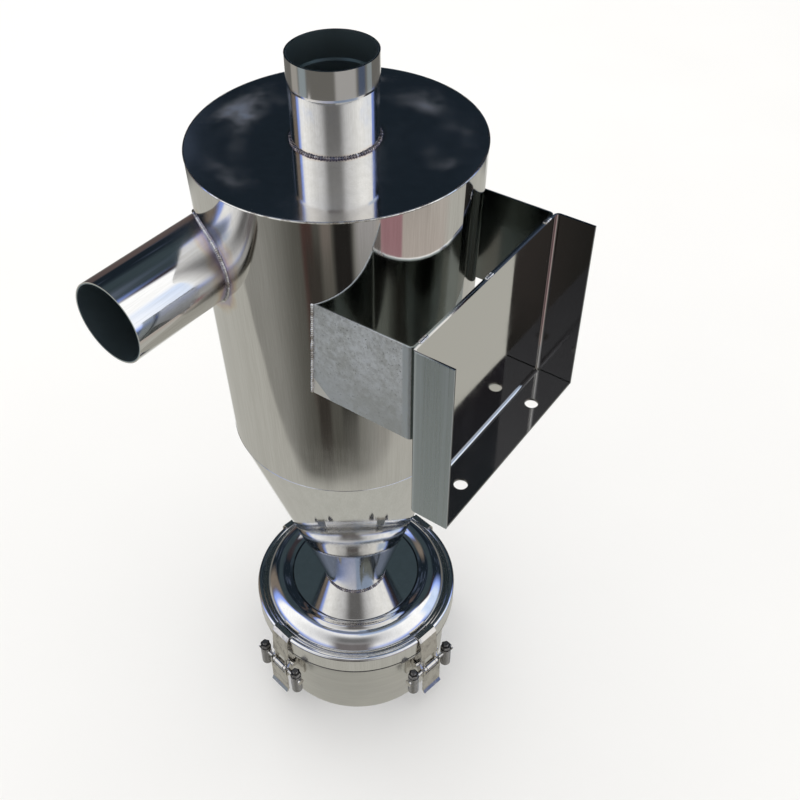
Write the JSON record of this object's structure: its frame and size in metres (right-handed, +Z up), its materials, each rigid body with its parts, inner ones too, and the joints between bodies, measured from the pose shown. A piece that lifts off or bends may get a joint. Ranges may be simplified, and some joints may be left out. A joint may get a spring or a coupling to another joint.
{
  "type": "cyclone separator",
  "caption": "Stainless cyclone dust separator: tapered barrel and cone on a latched round dust bin, with side inlet, top outlet and folded mounting tray.",
  "frame": {"origin": "centre of the dust bin's underside", "axes": "+Z up along the barrel's axis, +X out through the mounting tray, the inlet pipe points towards -Y"},
  "size_m": [0.2807, 0.3044, 0.686],
  "materials": {
    "mirror_steel": "mirror polished stainless sheet",
    "brushed_flange": "brushed stainless, fine upright grain",
    "coated_strap": "matt stainless with a mottled film",
    "satin_bin": "satin stainless",
    "weld_steel": "heat tinted weld bead",
    "latch_steel": "bright stamped stainless",
    "gasket_rubber": "black rubber"
  },
  "bodies": {
    "separator": {"outlet_pipe": "mirror_steel", "outlet_weld": "weld_steel", "top_plate": "mirror_steel", "barrel_shell": "mirror_steel", "cone_shell": "mirror_steel", "neck_weld": "weld_steel", "inlet_pipe": "mirror_steel", "inlet_weld": "weld_steel", "mounting_strap": "coated_strap", "strap_welds": "weld_steel", "mounting_tray": "brushed_flange", "web_tacks": "weld_steel", "lid_pressing": "mirror_steel", "lid_rim": "mirror_steel", "lid_gasket": "gasket_rubber", "bin_wall": "satin_bin", "bin_floor": "satin_bin", "bin_rim": "satin_bin", "latch_1_base": "latch_steel", "latch_1_pin": "latch_steel", "latch_2_base": "latch_steel", "latch_2_pin": "latch_steel", "latch_3_base": "latch_steel", "latch_3_pin": "latch_steel", "latch_4_base": "latch_steel", "latch_4_pin": "latch_steel"},
    "latch_1_lever_body": {"latch_1_lever": "latch_steel"},
    "latch_1_hook_body": {"latch_1_hook": "latch_steel", "latch_1_crossbar": "latch_steel", "latch_1_springs": "latch_steel"},
    "latch_2_lever_body": {"latch_2_lever": "latch_steel"},
    "latch_2_hook_body": {"latch_2_hook": "latch_steel", "latch_2_crossbar": "latch_steel", "latch_2_springs": "latch_steel"},
    "latch_3_lever_body": {"latch_3_lever": "latch_steel"},
    "latch_3_hook_body": {"latch_3_hook": "latch_steel", "latch_3_crossbar": "latch_steel", "latch_3_springs": "latch_steel"},
    "latch_4_lever_body": {"latch_4_lever": "latch_steel"},
    "latch_4_hook_body": {"latch_4_hook": "latch_steel", "latch_4_crossbar": "latch_steel", "latch_4_springs": "latch_steel"}
  },
  "joints": [
    {"name": "latch_1_lever_hinge", "type": "hinge", "parent": "separator", "child": "latch_1_lever_body", "pos_m": [0.10114, -0.01783, 0.068], "axis": [-0.1736, -0.9848, 0], "range_deg": [0, 100]},
    {"name": "latch_1_hook_hinge", "type": "hinge", "parent": "latch_1_lever_body", "child": "latch_1_hook_body", "pos_m": [0.10754, -0.01896, 0.059], "axis": [-0.1736, -0.9848, 0], "range_deg": [-120, 0]},
    {"name": "latch_2_lever_hinge", "type": "hinge", "parent": "separator", "child": "latch_2_lever_body", "pos_m": [0.01783, 0.10114, 0.068], "axis": [0.9848, -0.1736, 0], "range_deg": [0, 100]},
    {"name": "latch_2_hook_hinge", "type": "hinge", "parent": "latch_2_lever_body", "child": "latch_2_hook_body", "pos_m": [0.01896, 0.10754, 0.059], "axis": [0.9848, -0.1736, 0], "range_deg": [-120, 0]},
    {"name": "latch_3_lever_hinge", "type": "hinge", "parent": "separator", "child": "latch_3_lever_body", "pos_m": [-0.10114, 0.01783, 0.068], "axis": [0.1736, 0.9848, 0], "range_deg": [0, 100]},
    {"name": "latch_3_hook_hinge", "type": "hinge", "parent": "latch_3_lever_body", "child": "latch_3_hook_body", "pos_m": [-0.10754, 0.01896, 0.059], "axis": [0.1736, 0.9848, 0], "range_deg": [-120, 0]},
    {"name": "latch_4_lever_hinge", "type": "hinge", "parent": "separator", "child": "latch_4_lever_body", "pos_m": [-0.01783, -0.10114, 0.068], "axis": [-0.9848, 0.1736, 0], "range_deg": [0, 100]},
    {"name": "latch_4_hook_hinge", "type": "hinge", "parent": "latch_4_lever_body", "child": "latch_4_hook_body", "pos_m": [-0.01896, -0.10754, 0.059], "axis": [-0.9848, 0.1736, 0], "range_deg": [-120, 0]}
  ],
  "couplings": [
    {"joint": "latch_1_hook_hinge", "follows": "latch_1_lever_hinge", "ratio": -1.2},
    {"joint": "latch_2_hook_hinge", "follows": "latch_2_lever_hinge", "ratio": -1.2},
    {"joint": "latch_3_hook_hinge", "follows": "latch_3_lever_hinge", "ratio": -1.2},
    {"joint": "latch_4_hook_hinge", "follows": "latch_4_lever_hinge", "ratio": -1.2}
  ]
}
